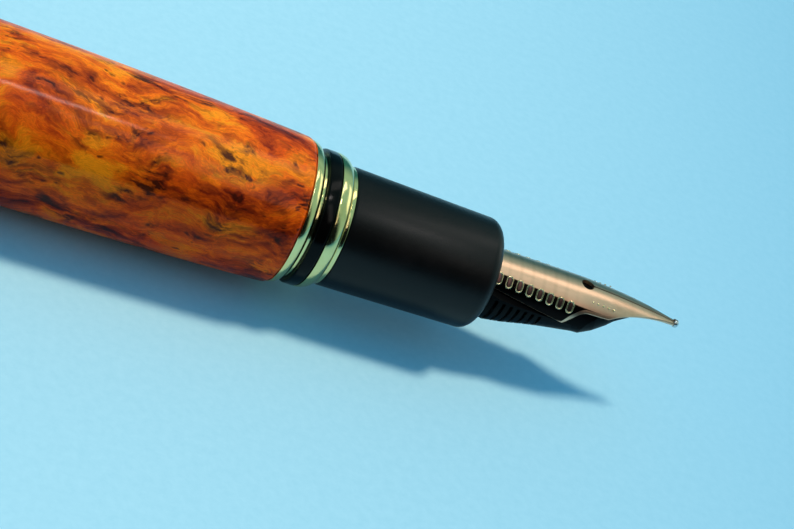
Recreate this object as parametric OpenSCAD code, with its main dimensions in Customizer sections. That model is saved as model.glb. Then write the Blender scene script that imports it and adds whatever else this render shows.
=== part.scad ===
// A turned-wood fountain pen with its cap posted on the back of the barrel.
// The pen's axis is X, the nib points along +X and the top of the nib faces +Z.
// The origin is on the axis, at the middle of the cap's centre band.

/* [Barrel] */
// Length of the barrel's wood
wood_len = 62; // [58:0.5:72]
// Radius of the wood at its thickest
belly_r = 7.31; // [7:0.01:7.34]
// Radius of the wood's front end
wood_front_r = 6.42; // [6.35:0.01:6.6]
// Radius of the wood's rear end
wood_rear_r = 6.95; // [6.6:0.01:7]
// Distance from the wood's front end to its thickest place
belly_from_front = 38; // [30:0.5:44]
// Rounding of the wood's ends
wood_round = 0.45; // [0.2:0.05:0.6]
// Outer radius of the brass tube inside the barrel
tube_r = 5.3; // [5.2:0.01:5.4]
// Wall of the brass tubes
tube_wall = 0.33; // [0.25:0.01:0.35]

/* [Trim rings] */
// Length of the ring in front of the wood
trim_len = 1.35; // [1.1:0.05:1.6]
// Large radius of the ring in front of the wood
trim_r = 6.27; // [6.2:0.01:6.32]
// Length of the smooth black collar
collar_len = 1.15; // [1:0.05:1.6]
// Radius of the smooth black collar
collar_r = 5.95; // [5.85:0.01:6]
// Length of the ring behind the grip
section_ring_len = 1.65; // [1.3:0.05:1.9]
// Large radius of the ring behind the grip
section_ring_r = 5.95; // [5.8:0.01:6]
// Drop of the rounded step on the trim rings
step_drop = 0.7; // [0.6:0.05:0.8]
// Radius of the step's arc
step_arc_r = 1; // [1:0.05:1.2]
// Length of the ring on the barrel's rear end
rear_ring_len = 2; // [1.4:0.1:3]
// Large radius of the ring on the barrel's rear end
rear_ring_r = 6.8; // [6.75:0.01:6.9]

/* [Coupler and post] */
// Length of the coupler's plug inside the tube
coupler_plug = 9; // [8.5:0.5:11]
// Radius of the coupler's thread bore
thread_bore_r = 4.35; // [4.3:0.01:4.4]
// Length of the post that carries the cap
post_len = 12; // [9:0.5:13]
// Length of the post's plug inside the tube
post_plug = 8; // [5:0.5:9]
// Gap between the posted cap and the barrel's rear ring
post_gap = 0.3; // [0.2:0.05:0.6]

/* [Section] */
// Length of the grip
grip_len = 14.2; // [13.5:0.1:18]
// Radius of the grip's rear end
grip_rear_r = 5.25; // [5.15:0.01:5.4]
// Radius of the grip's front end
grip_front_r = 4.97; // [4.9:0.01:5.1]
// Rounding of the grip's front edge
grip_round = 1.15; // [0.8:0.05:1.15]
// Length of the threaded tenon behind the ring
tenon_len = 8; // [6:0.5:8.5]
// Length of the tenon's root inside the grip
tenon_root = 7; // [5:0.5:9]
// Radius of the tenon's root
tenon_root_r = 4.55; // [4.5:0.01:4.6]
// Outer radius of the nib housing
housing_r = 3.7; // [3.6:0.01:3.72]
// Depth of the nib housing's socket
housing_depth = 9; // [8:0.5:10]
// Thickness of the nib housing's rear wall
housing_floor = 1; // [0.8:0.1:1.5]
// Radius of the housing's nipple
nipple_r = 1.25; // [1.1:0.05:1.4]
// Length of the housing's nipple
nipple_len = 6; // [5:0.5:7]

/* [Nib and feed] */
// Outer radius of the nib's body
nib_r = 2.7; // [2.6:0.01:2.95]
// Thickness of the nib's sheet
nib_sheet = 0.3; // [0.2:0.01:0.4]
// Length of the nib in front of the grip
nib_out = 17.9; // [17:0.1:20]
// Length of the nib inside its housing
nib_in = 7; // [5:0.5:7.5]
// Length of the nib's skirt in front of the grip
skirt_len = 7.5; // [7:0.1:8.5]
// Height of the skirt's edge at the grip
skirt_rear_z = 1; // [0.6:0.05:1.1]
// Height of the skirt's front corner
skirt_front_z = -0.2; // [-0.3:0.05:0.2]
// Distance from the grip to the nib's shoulders
shoulder_from_grip = 11.4; // [11:0.1:12.8]
// Height of the nib's edge between notch and shoulder
shoulder_z = 1.34; // [1:0.02:1.4]
// Half width of the nib's point
point_half_width = 0.34; // [0.3:0.02:0.6]
// Distance from the grip to where the tines start to bend down
bend_from_grip = 8.1; // [7.5:0.1:9.5]
// Drop of the tines at the point
nib_drop = 0.85; // [0.6:0.05:1.1]
// Distance from the grip to the breather hole
hole_from_grip = 8.9; // [8.6:0.1:10]
// Radius of the breather hole
hole_r = 0.6; // [0.4:0.05:0.8]
// Width of the nib's slit
slit_w = 0.12; // [0.08:0.01:0.2]
// Radius of the writing ball
ball_r = 0.38; // [0.3:0.01:0.45]
// Distance between the feed's fins
fin_pitch = 0.76; // [0.65:0.01:0.9]
// Width of the grooves between the fins
fin_gap = 0.3; // [0.2:0.01:0.4]
// Number of grooves between the fins
fin_grooves = 7; // [5:1:7]
// Upward tilt of the feed's nose, in degrees
nose_tilt = 16.7; // [14:0.1:18]

/* [Converter] */
// Outer radius of the converter's clear tube
conv_r = 3.4; // [3.3:0.01:3.45]
// Wall of the clear tube
conv_wall = 0.6; // [0.5:0.05:0.7]
// Length of the clear tube
conv_tube_len = 25; // [23:0.5:26]
// Length of the converter's mouth in front of the tube
mouth_len = 6.3; // [6:0.1:7]
// Depth of the mouth's plug inside the tube
mouth_plug = 3; // [2:0.5:4]
// Length of the metal band
conv_band_len = 7; // [6.5:0.5:8]
// Length of the twist knob
knob_len = 16; // [15:0.5:17]
// Length of the piston's seal
seal_len = 3; // [2:0.5:3]
// Radius of the piston's rod
rod_r = 1.1; // [1:0.05:1.2]
// Radius of the agitator ball
agitator_r = 1; // [0.8:0.05:1.1]

/* [Cap] */
// Length of the cap's wood
cap_wood_len = 42; // [41:0.5:48]
// Radius of the cap's wood beside the centre band
cap_front_r = 6.95; // [6.85:0.01:7.05]
// Radius of the cap's wood at the clip end
cap_rear_r = 6.6; // [6.5:0.01:6.8]
// Radius of the cap's wood at its thickest
cap_belly_r = 7.26; // [7.1:0.01:7.28]
// Distance from the centre band to the thickest place
cap_belly_at = 16; // [10:0.5:24]
// Radius of the cap's centre band
band_r = 7.3; // [7.3:0.01:7.5]
// Length of the cap's centre band
band_len = 5; // [4:0.5:7]
// Length of the ring at the cap's mouth
lip_len = 1.6; // [1.3:0.1:2.5]
// Large radius of the ring at the cap's mouth
lip_r = 7; // [6.9:0.01:7.1]
// Length of the ring between the wood and the clip
top_ring_len = 1.4; // [1.2:0.1:2]
// Large radius of the ring between the wood and the clip
top_ring_r = 6.45; // [6.3:0.01:6.55]
// Inner radius of the inner cap
inner_cap_r = 4.6; // [4.4:0.01:4.8]
// Length of the bushing that plugs the cap's tube
bushing_len = 6; // [5:0.5:8]

/* [Clip and finial] */
// Thickness of the clip's collar
clip_collar_len = 1.2; // [1:0.1:1.6]
// Radius of the clip's collar
clip_collar_r = 6.3; // [6.2:0.01:6.5]
// Width of the clip
clip_w = 3; // [2.4:0.1:3.4]
// Thickness of the clip's arm
clip_t = 0.8; // [0.6:0.05:1]
// Height of the clip's arm above the pen's axis, at its outer face
clip_top = 9.2; // [9:0.05:9.3]
// Distance from the clip's hinge to its ball
clip_reach = 36; // [30:0.5:38]
// Radius of the clip's ball
clip_ball_r = 1.6; // [1.5:0.05:1.7]
// Gap between the clip's ball and the wood
clip_ball_gap = 0.15; // [0.1:0.05:0.3]
// Radius of the clip's knuckle
knuckle_r = 0.7; // [0.6:0.05:0.8]
// Length of the finial's base
finial_len = 3; // [2:0.1:5]
// Radius of the finial's base
finial_r = 6; // [5.6:0.05:6.2]
// Height of the finial's jewel
jewel_len = 2; // [1.2:0.1:3]
// Radius of the finial's jewel
jewel_r = 4.6; // [4:0.1:5]
// Radius of the finial's screw
finial_screw_r = 1.75; // [1.5:0.05:2.5]

/* [Hidden] */

fn_turn = 96;         // segments of a turned piece
fit = 0.03;           // radial gap of pieces glued or pressed together
run = 0.05;           // radial gap of pieces that slide or turn
seat = 0.02;          // axial gap between faces of different bodies
past = 1;             // how far a cutter runs past what it cuts
wide = 3 * band_r;    // half size of a cutter that takes a whole side

// Stations along the axis, from the cap's band to the nib
mouth_x = band_len / 2 + lip_len;
barrel_rear_x = mouth_x + post_gap;
wood_rear_x = barrel_rear_x + rear_ring_len;
wood_front_x = wood_rear_x + wood_len;
collar_x = wood_front_x + trim_len;
section_ring_x = collar_x + collar_len;
grip_x = section_ring_x + section_ring_len;
face_x = grip_x + grip_len;
post_end_x = barrel_rear_x - post_len;

// Stations of the cap, from its band to the finial
cap_wood_x = -band_len / 2;
cap_wood_end_x = cap_wood_x - cap_wood_len;
clip_x = cap_wood_end_x - top_ring_len;
finial_x = clip_x - clip_collar_len;
jewel_x = finial_x - finial_len;
bushing_front_x = cap_wood_end_x + bushing_len;
lip_seal = 0.3;       // how far the grip's rounded nose enters the inner cap on a capped pen
inner_cap_x = mouth_x - (face_x - collar_x) + lip_seal;

// Bores and plugs that fit each other
tube_bore = tube_r - tube_wall;
plug_r = tube_bore - fit;
post_r = collar_r;
cap_bore = collar_r + run;
cap_tube_r = cap_bore + tube_wall;
tenon_r = thread_bore_r - run;
section_bore = housing_r + run;
nib_bore = nib_r + run;
plug_wall = 0.9;
tenon_x = section_ring_x - tenon_len;

// The nib's sheet, measured forwards from the grip's front face
nib_end = face_x + nib_out;
tip_r = nib_r - nib_drop;
bend_power = 1.7;
tine_power = 1.35;
notch_len = 1.9;      // from the skirt's corner to the flat edge before the shoulder
sweep_steps = 10;
arc_steps = 6;
skirt_slope = (skirt_front_z - skirt_rear_z) / skirt_len;
shoulder_clear = 0.02; // the shoulders' cut starts this far outside the sheet
shoulder_w = sqrt(pow(nib_radius(shoulder_from_grip), 2) - pow(shoulder_z, 2)) + shoulder_clear;

// The feed, its ledge under the nib's skirt and its lower outline as [radius, distance from the grip]
feed_in = 8.5;
feed_r = nib_r - nib_sheet - fit;
feed_clear = 0.12;
fin_start = 0.75;     // from the grip to the first groove
fin_depth_r = 2.35;   // radius at the bottom of the grooves
keel = [[3.45, 0.12], [3.6, 1.0], [3.35, 2.7], [2.97, 4.5], [2.63, 6.3], [2.18, 9.3]];
nose = [[2.2, -0.3], [2.45, 1.0], [2.15, 2.2], [1.6, 3.45], [1.22, 4.1], [0.84, 5.2], [0.34, 6.8], [0, 7]];
nose_from_grip = 8.3;

// The converter, from its mouth to its knob
conv_front_x = face_x - housing_depth - housing_floor - 0.2;
conv_tube_x = conv_front_x - mouth_len;
conv_tube_end_x = conv_tube_x - conv_tube_len;
conv_bore = conv_r - conv_wall;
guide_in = 4;         // length of the rod guide inside the clear tube
guide_x = conv_tube_end_x + guide_in;
conv_band_x = conv_tube_end_x + conv_band_len - 3.5;
conv_band_end_x = conv_band_x - conv_band_len;
guide_end_x = conv_band_end_x + 0.4;
knob_x = conv_band_end_x - 0.3;
knob_end_x = knob_x - knob_len;
ball_gap = 0.5;       // room for the agitator ball in front and behind
agitator_x = conv_tube_x - mouth_plug - ball_gap - agitator_r;
seal_x = agitator_x - agitator_r - ball_gap;
rod_end_x = knob_x - 3;
nut_len = 5;
rod_flat = 0.8;       // half width of the rod across its flats
knob_bore = 2;

// The clip turns round the pen until its ball rests on the table, level with the cap's band
clip_hinge_x = clip_x - clip_collar_len / 2;
clip_hinge_z = clip_top - knuckle_r;
clip_ball_x = clip_hinge_x + clip_reach;
clip_ball_z = cap_radius(cap_wood_x - clip_ball_x) + clip_ball_gap + clip_ball_r;
clip_turn = acos((band_r - clip_ball_r - seat) / clip_ball_z);

// Radius of a turned profile that swells from its ends to its thickest place
function swell(d, len, front, belly, rear, at) = d < at
    ? belly - (belly - front) * pow((at - d) / at, 2)
    : belly - (belly - rear) * pow((d - at) / (len - at), 2);

// Radius of the cap's wood at a distance behind the centre band
function cap_radius(d) = swell(d, cap_wood_len, cap_front_r, cap_belly_r, cap_rear_r, cap_belly_at);

// Outer radius of the nib's sheet at a distance in front of the grip
function nib_radius(d) = d < bend_from_grip
    ? nib_r
    : nib_r - nib_drop * pow((d - bend_from_grip) / (nib_out - bend_from_grip), bend_power);

// Half width of the tines at a distance in front of the grip
function tine_half_width(d) = point_half_width
    + (shoulder_w - point_half_width)
    * pow(max(0, 1 - (d - shoulder_from_grip) / (nib_out - shoulder_from_grip)), tine_power);

// Points of an arc round a centre, as [radius, distance]
function arc_points(centre, r, from, to) = [for (i = [0 : arc_steps]) let (a = from + (to - from) * i / arc_steps)
    centre + r * [cos(a), sin(a)]];

// Turns a profile of [radius, distance] round the X axis
module turned() {
    rotate([0, 90, 0]) rotate_extrude($fn = fn_turn) children();
}

// A rod from x0 to x1
module rod(x0, x1, r) {
    translate([x0, 0, 0]) rotate([0, 90, 0]) cylinder(r = r, h = x1 - x0, $fn = fn_turn);
}

// A plain ring from x0 to x1
module ring(x0, x1, r, bore) {
    difference() {
        rod(x0, x1, r);
        rod(x0 - past, x1 + past, bore);
    }
}

// A ring with a rounded step: its large end is at x, and side is 1 when its small end is in front
module stepped_ring(x, side, len, r, bore) {
    translate([x, 0, 0]) rotate([0, 0, side > 0 ? 0 : 180]) turned() intersection() {
        union() {
            square([r - step_drop, len]);
            translate([r - step_arc_r, 0]) circle(r = step_arc_r, $fn = fn_turn);
        }
        translate([bore, 0]) square([r - bore, len]);
    }
}

// Swelling wood with rounded ends, its front end at x
module swelled_wood(x, len, front, belly, rear, at, bore) {
    steps = 24;
    inset = len - 2 * wood_round;
    turned() polygon(concat(
        [[bore, x]],
        arc_points([front - wood_round, x - wood_round], wood_round, 90, 0),
        [for (i = [1 : steps - 1]) let (d = wood_round + inset * i / steps)
            [swell(d, len, front, belly, rear, at), x - d]],
        arc_points([rear - wood_round, x - len + wood_round], wood_round, 0, -90),
        [[bore, x - len]]));
}

// The side of a cutter whose outline is given as [x, z]
module side_cut(points) {
    rotate([90, 0, 0]) linear_extrude(height = 2 * wide, center = true) polygon(points);
}

// A bar with flats, for the piston's rod and the hole that guides it
module flat_bar(x0, x1, r, half_flat) {
    intersection() {
        rod(x0, x1, r);
        translate([x0, -wide, -half_flat]) cube([x1 - x0, 2 * wide, 2 * half_flat]);
    }
}

// ---- Barrel ----

module barrel_wood() {
    color("#b8651b") swelled_wood(wood_front_x, wood_len, wood_front_r, belly_r, wood_rear_r,
        belly_from_front, tube_r + fit);
}

module barrel_tube() {
    color("#c9a227") ring(wood_rear_x, wood_front_x, tube_r, tube_bore);
}

module barrel_trim_ring() {
    color("#d8b45a") stepped_ring(wood_front_x, 1, trim_len, trim_r, tube_bore);
}

// The smooth collar, with the plug that holds it in the barrel's tube
module barrel_coupler() {
    edge = 0.25;
    color("#101012") turned() difference() {
        union() {
            translate([0, collar_x]) square([collar_r - edge, collar_len]);
            translate([0, collar_x + edge]) square([collar_r, collar_len - 2 * edge]);
            for (x = [collar_x + edge, section_ring_x - edge])
                translate([collar_r - edge, x]) circle(r = edge, $fn = fn_turn);
            translate([0, wood_front_x - coupler_plug]) square([plug_r, coupler_plug + trim_len + edge]);
        }
        translate([thread_bore_r - wide, wood_front_x - wide]) square([wide, 2 * wide]);
    }
}

module rear_trim_ring() {
    color("#d8b45a") stepped_ring(wood_rear_x, -1, rear_ring_len, rear_ring_r, tube_bore);
}

// The post that carries the cap, with its plug in the barrel's tube
module rear_post() {
    color("#101012") {
        rod(barrel_rear_x, wood_rear_x + post_plug, plug_r);
        rod(post_end_x + plug_wall, barrel_rear_x, post_r);
        turned() intersection() {
            translate([post_r - plug_wall, post_end_x + plug_wall]) circle(r = plug_wall, $fn = fn_turn);
            translate([0, post_end_x]) square([post_r, plug_wall]);
        }
        rod(post_end_x, post_end_x + plug_wall, post_r - plug_wall);
    }
}

// ---- Section ----

module section_trim_ring() {
    color("#d8b45a") stepped_ring(section_ring_x + seat, 1, section_ring_len - 2 * seat,
        section_ring_r, tenon_root_r + run);
}

module section_grip() {
    rear_edge = 0.3;
    color("#1b1b1d") difference() {
        turned() polygon(concat(
            [[0, grip_x], [grip_rear_r - rear_edge, grip_x], [grip_rear_r, grip_x + rear_edge]],
            arc_points([grip_front_r - grip_round, face_x - grip_round], grip_round, 0, 90),
            [[0, face_x]]));
        rod(grip_x - past, face_x + past, section_bore);
        rod(grip_x - past, grip_x + tenon_root + fit, tenon_root_r + fit);
    }
}

// The threaded sleeve: its root is fixed in the grip and carries the ring
module section_tenon() {
    color("#2a2a2c") difference() {
        union() {
            rod(section_ring_x + seat, grip_x + tenon_root, tenon_root_r);
            rod(tenon_x, section_ring_x + seat, tenon_r);
        }
        rod(tenon_x - past, grip_x + tenon_root + past, section_bore);
    }
}

// ---- Nib unit ----

module nib_housing() {
    floor_x = face_x - housing_depth;
    back_x = floor_x - housing_floor;
    ink_r = 0.5;
    color("#141416") difference() {
        union() {
            rod(back_x, face_x, housing_r);
            rod(back_x - nipple_len, back_x, nipple_r);
        }
        rod(floor_x, face_x + past, nib_bore);
        rod(back_x - nipple_len - past, floor_x + past, ink_r);
    }
}

// The nib's skirt line: its height at a distance in front of the grip
function skirt_z(d) = d < 0 ? skirt_rear_z : skirt_rear_z + skirt_slope * d;

// Outline of the nib from the side, as [x, z]
function nib_side() = concat(
    [[face_x - nib_in - past, wide], [face_x - nib_in - past, skirt_z(-nib_in)]],
    [[face_x, skirt_z(0)], [face_x + skirt_len, skirt_z(skirt_len)]],
    [for (i = [1 : sweep_steps]) let (t = i / sweep_steps)
        [face_x + skirt_len + notch_len * t, skirt_front_z + (shoulder_z - skirt_front_z) * sin(90 * t)]],
    [[nib_end + past, shoulder_z], [nib_end + past, wide]]);

// A solid under the nib's outer face, less the given depth
module under_nib(x0, depth) {
    turned() polygon(concat(
        [[0, x0], [nib_r - depth, x0]],
        [for (i = [0 : sweep_steps]) let (d = bend_from_grip + (nib_out - bend_from_grip) * i / sweep_steps)
            [nib_radius(d) - depth, face_x + d]],
        [[0, nib_end]]));
}

// Bent sheet with notched sides, shoulders, breather hole and slit
module nib() {
    hole_x = face_x + hole_from_grip;
    tines = [for (i = [0 : sweep_steps]) let (d = shoulder_from_grip
        + (nib_out - shoulder_from_grip) * i / sweep_steps) [face_x + d, tine_half_width(d)]];
    behind = face_x - nib_in;
    color("#d9be9a") difference() {
        intersection() {
            difference() {
                under_nib(behind, 0);
                under_nib(behind - past, nib_sheet);
            }
            side_cut(nib_side());
            linear_extrude(height = wide, center = true) polygon(concat(
                [[behind - past, -wide], [behind - past, wide], [face_x + shoulder_from_grip, wide]],
                tines,
                [for (i = [0 : sweep_steps]) [tines[sweep_steps - i][0], -tines[sweep_steps - i][1]]],
                [[face_x + shoulder_from_grip, -wide]]));
        }
        translate([hole_x, 0, 0]) cylinder(r = hole_r, h = wide, $fn = fn_turn);
        translate([hole_x, -slit_w / 2, 0]) cube([wide, slit_w, wide]);
    }
}

// The hard writing ball, in two halves on the ends of the tines
module nib_tip() {
    lead = 0.12;      // how far the ball's middle lies in front of the sheet
    color("#c8ccd0") translate([nib_end, 0, tip_r - nib_sheet / 2]) difference() {
        translate([lead, 0, 0]) sphere(r = ball_r, $fn = fn_turn);
        translate([-wide, -wide, -wide]) cube([wide, 2 * wide, 2 * wide]);
        translate([-past, -slit_w / 2, -wide]) cube([2 * past, slit_w, 2 * wide]);
    }
}

// Black feed: a core under the sheet, a finned keel below the skirt and a nose that rises to the tines
module feed() {
    rear_x = face_x - feed_in;
    keel_end = face_x + keel[len(keel) - 1][1];
    ledge = 0.25;     // plain strip between the fins and the skirt
    ledge_side = [[rear_x - past, -wide], [rear_x - past, skirt_z(-1) - feed_clear],
        [face_x, skirt_z(0) - feed_clear], [face_x + skirt_len, skirt_z(skirt_len) - feed_clear],
        [keel_end + past, skirt_z(skirt_len) - feed_clear], [keel_end + past, -wide]];
    color("#121416") {
        difference() {
            union() {
                intersection() {
                    under_nib(rear_x, nib_sheet + fit);
                    translate([rear_x, -wide, skirt_front_z - feed_clear])
                        cube([keel_end - rear_x, 2 * wide, wide]);
                }
                intersection() {
                    turned() polygon(concat([[0, rear_x], [nib_r, rear_x], [nib_r, face_x + keel[0][1]]],
                        [for (p = keel) [p[0], face_x + p[1]]], [[0, keel_end]]));
                    side_cut(ledge_side);
                }
            }
            intersection() {
                for (i = [0 : fin_grooves - 1])
                    ring(face_x + fin_start + fin_pitch * i, face_x + fin_start + fin_pitch * i + fin_gap,
                        wide, fin_depth_r);
                translate([0, 0, -ledge]) side_cut(ledge_side);
            }
        }
        intersection() {
            translate([face_x + nose_from_grip, 0, 0]) rotate([0, -nose_tilt, 0])
                turned() polygon(concat([[0, nose[0][1]]], nose));
            under_nib(rear_x, nib_sheet + fit);
        }
    }
}

// ---- Converter ----

module converter_mouth() {
    color("#141416") difference() {
        union() {
            rod(conv_tube_x, conv_front_x, conv_r);
            rod(conv_tube_x - mouth_plug, conv_tube_x, conv_bore - fit);
        }
        rod(conv_front_x - nipple_len - past / 2, conv_front_x + past, nipple_r + run);
        rod(conv_tube_x - mouth_plug - past, conv_front_x, nipple_r / 2);
    }
}

module converter_tube() {
    color("#dfe9ee", 0.4) ring(conv_tube_end_x, conv_tube_x, conv_r, conv_bore);
}

module converter_band() {
    band_wall = 0.2;
    color("#c8ccd0") ring(conv_band_end_x, conv_band_x, conv_r + fit + band_wall, conv_r + fit);
}

// Plug that closes the clear tube and stops the rod from turning
module rod_guide() {
    color("#141416") difference() {
        union() {
            rod(conv_tube_end_x, guide_x, conv_bore - fit);
            rod(guide_end_x, conv_tube_end_x, conv_r);
        }
        flat_bar(guide_end_x - past, guide_x + past, rod_r + run, rod_flat + run);
    }
}

module agitator_ball() {
    color("#c8ccd0") translate([agitator_x, 0, -(conv_bore - agitator_r - seat)])
        sphere(r = agitator_r, $fn = fn_turn);
}

// Seal with a lip at each end
module piston_seal() {
    lip = 0.8;
    waist = 0.3;
    r = conv_bore - run;
    color("#2c2c30") {
        rod(seal_x - seal_len, seal_x - seal_len + lip, r);
        rod(seal_x - seal_len + lip, seal_x - lip, r - waist);
        rod(seal_x - lip, seal_x, r);
    }
}

module piston_rod() {
    color("#3a3a3e") flat_bar(rod_end_x, seal_x - seal_len, rod_r, rod_flat);
}

module drive_nut() {
    color("#c9a227") ring(knob_x - nut_len, guide_end_x - seat, knob_bore - fit, rod_r + run);
}

module converter_knob() {
    end_wall = 1;
    color("#141416") difference() {
        rod(knob_end_x, knob_x, conv_r);
        rod(knob_end_x + end_wall, knob_x + past, knob_bore);
    }
}

// ---- Cap ----

module cap_wood() {
    color("#b8651b") swelled_wood(cap_wood_x, cap_wood_len, cap_front_r, cap_belly_r, cap_rear_r,
        cap_belly_at, cap_tube_r + fit);
}

module cap_tube() {
    color("#c9a227") ring(cap_wood_end_x, band_len / 2, cap_tube_r, cap_bore);
}

module cap_band() {
    color("#d8b45a") ring(-band_len / 2, band_len / 2, band_r, cap_tube_r + fit);
}

module cap_lip_ring() {
    color("#d8b45a") stepped_ring(band_len / 2, 1, lip_len, lip_r, cap_bore);
}

module inner_cap() {
    color("#242426") ring(bushing_front_x, inner_cap_x, cap_bore - fit, inner_cap_r);
}

module cap_bushing() {
    color("#c9a227") ring(cap_wood_end_x, bushing_front_x, cap_bore - fit, finial_screw_r + fit);
}

module cap_top_ring() {
    color("#d8b45a") stepped_ring(cap_wood_end_x, -1, top_ring_len, top_ring_r, finial_screw_r + fit);
}

// Turns what is above the axis to the side where the clip lies
module at_clip() {
    rotate([180 - clip_turn, 0, 0]) children();
}

// Collar of the clip, with the lug that holds the arm's knuckle
module clip_collar() {
    color("#d8b45a") difference() {
        union() {
            ring(finial_x, clip_x, clip_collar_r, finial_screw_r + fit);
            at_clip() translate([finial_x, -clip_w / 2, finial_r - past])
                cube([clip_collar_len, clip_w, clip_hinge_z - finial_r + past]);
        }
        at_clip() translate([clip_hinge_x, 0, clip_hinge_z]) rotate([90, 0, 0])
            cylinder(r = knuckle_r + run, h = 2 * clip_w, center = true, $fn = fn_turn);
    }
}

// Arm of the clip, from its knuckle to the ball over the wood
module clip_arm() {
    color("#d8b45a") at_clip() {
        translate([clip_hinge_x, 0, clip_hinge_z]) rotate([90, 0, 0])
            cylinder(r = knuckle_r, h = clip_w, center = true, $fn = fn_turn);
        translate([clip_hinge_x, -clip_w / 2, clip_top - clip_t]) cube([clip_reach, clip_w, clip_t]);
        translate([clip_ball_x, 0, clip_ball_z]) sphere(r = clip_ball_r, $fn = fn_turn);
    }
}

// Finial with the screw that clamps clip and ring to the bushing
module cap_finial() {
    edge = 0.6;
    screw_in = bushing_len - 1;
    color("#d8b45a") {
        turned() polygon([[0, jewel_x], [finial_r - edge, jewel_x], [finial_r, jewel_x + edge],
            [finial_r, finial_x], [0, finial_x]]);
        rod(finial_x, cap_wood_end_x + screw_in, finial_screw_r);
    }
}

// Low black dome on the finial
module finial_jewel() {
    dome_r = (jewel_r * jewel_r + jewel_len * jewel_len) / (2 * jewel_len);
    color("#101012") intersection() {
        translate([jewel_x - jewel_len + dome_r, 0, 0]) sphere(r = dome_r, $fn = fn_turn);
        rod(jewel_x - 2 * jewel_len, jewel_x, jewel_r + past);
    }
}

barrel_wood();
barrel_tube();
barrel_trim_ring();
barrel_coupler();
rear_trim_ring();
rear_post();
section_trim_ring();
section_grip();
section_tenon();
nib_housing();
nib();
nib_tip();
feed();
converter_mouth();
converter_tube();
converter_band();
rod_guide();
agitator_ball();
piston_seal();
piston_rod();
drive_nut();
converter_knob();
cap_wood();
cap_tube();
cap_band();
cap_lip_ring();
inner_cap();
cap_bushing();
cap_top_ring();
clip_collar();
clip_arm();
cap_finial();
finial_jewel();
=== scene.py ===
"""A turned-wood fountain pen with its cap posted on the back of the barrel.

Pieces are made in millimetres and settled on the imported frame, which is in metres.
The pen's axis is X, the nib points along +X and the top of the nib faces +Z.
"""

import math

import bmesh
import bpy
from mathutils import Matrix, Vector


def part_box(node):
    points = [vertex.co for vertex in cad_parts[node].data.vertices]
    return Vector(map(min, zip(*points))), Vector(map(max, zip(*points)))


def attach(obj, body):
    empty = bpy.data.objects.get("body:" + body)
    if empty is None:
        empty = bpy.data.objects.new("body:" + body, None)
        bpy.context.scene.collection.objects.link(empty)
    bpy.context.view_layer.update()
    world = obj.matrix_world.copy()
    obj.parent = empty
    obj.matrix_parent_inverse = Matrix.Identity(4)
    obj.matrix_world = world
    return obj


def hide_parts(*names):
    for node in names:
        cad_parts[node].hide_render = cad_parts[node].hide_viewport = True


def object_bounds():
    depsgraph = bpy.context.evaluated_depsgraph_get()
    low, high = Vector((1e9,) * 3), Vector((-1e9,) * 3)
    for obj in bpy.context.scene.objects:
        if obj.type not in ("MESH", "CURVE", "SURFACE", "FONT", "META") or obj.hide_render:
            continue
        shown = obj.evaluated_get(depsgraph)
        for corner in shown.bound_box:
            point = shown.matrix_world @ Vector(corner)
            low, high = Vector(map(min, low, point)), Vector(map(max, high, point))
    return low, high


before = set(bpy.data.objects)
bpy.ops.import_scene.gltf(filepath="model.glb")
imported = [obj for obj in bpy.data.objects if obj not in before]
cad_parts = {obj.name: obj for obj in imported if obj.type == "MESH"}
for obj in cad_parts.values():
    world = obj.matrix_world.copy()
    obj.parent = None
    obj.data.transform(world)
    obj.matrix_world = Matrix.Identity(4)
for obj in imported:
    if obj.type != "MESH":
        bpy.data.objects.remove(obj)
cad_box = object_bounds()

MM = 0.001
TURN_STEPS = 192        # faces round a turned piece
ROUND_STEPS = 5         # faces across a rounded edge
SAME_PLACE = 1e-5       # corners closer than this are one corner, in millimetres


# ---- Places and sizes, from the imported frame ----

def reach(node):
    """Rear end, front end and largest radius of a turned piece, in millimetres."""
    low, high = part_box(node)
    return low.x / MM, high.x / MM, high.y / MM


wood_rear, wood_front, wood_belly = reach("barrel_wood")
ring_rear, ring_front, ring_r = reach("barrel_trim_ring")
collar_plug, collar_front, collar_r = reach("barrel_coupler")
section_ring_rear, section_ring_front, section_ring_r = reach("section_trim_ring")
grip_rear, grip_front, grip_r = reach("section_grip")
tenon_rear, tenon_front, tenon_shank_r = reach("section_tenon")
nib_rear, nib_front, nib_r = reach("nib")

glue_gap = 0.03         # room between pieces that are glued or pressed together
tube_wall = 0.33        # wall of the brass tubes
tube_bore = reach("barrel_tube")[2] - tube_wall

wood_front_r = 6.42     # radius of the barrel's wood at its front end
wood_rear_r = 6.95      # radius of the barrel's wood at its rear end
belly_from_front = 38   # from the wood's front end to its thickest place
cap_front_r = 6.95      # radius of the cap's wood at its mouth
cap_rear_r = 6.6        # radius of the cap's wood at its closed end
cap_belly_from_band = 16
wood_round = 0.45       # rounding of both woods' edges

step_drop = 0.7         # drop of the trim rings' rounded step
step_arc_r = 1.0
strip_len = 0.33        # plain strip at the trim rings' small end

grip_front_r = 4.97     # radius of the grip where its nose starts
grip_round = 1.15       # rounding of the grip's nose
section_bore = 3.75
thread_bore_r = 4.35    # bore of the collar that the section screws into
thread_root_r = 4.08    # root of the thread on the tenon
neck_r = 4.3            # plain neck between the thread and the grip ring

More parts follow.
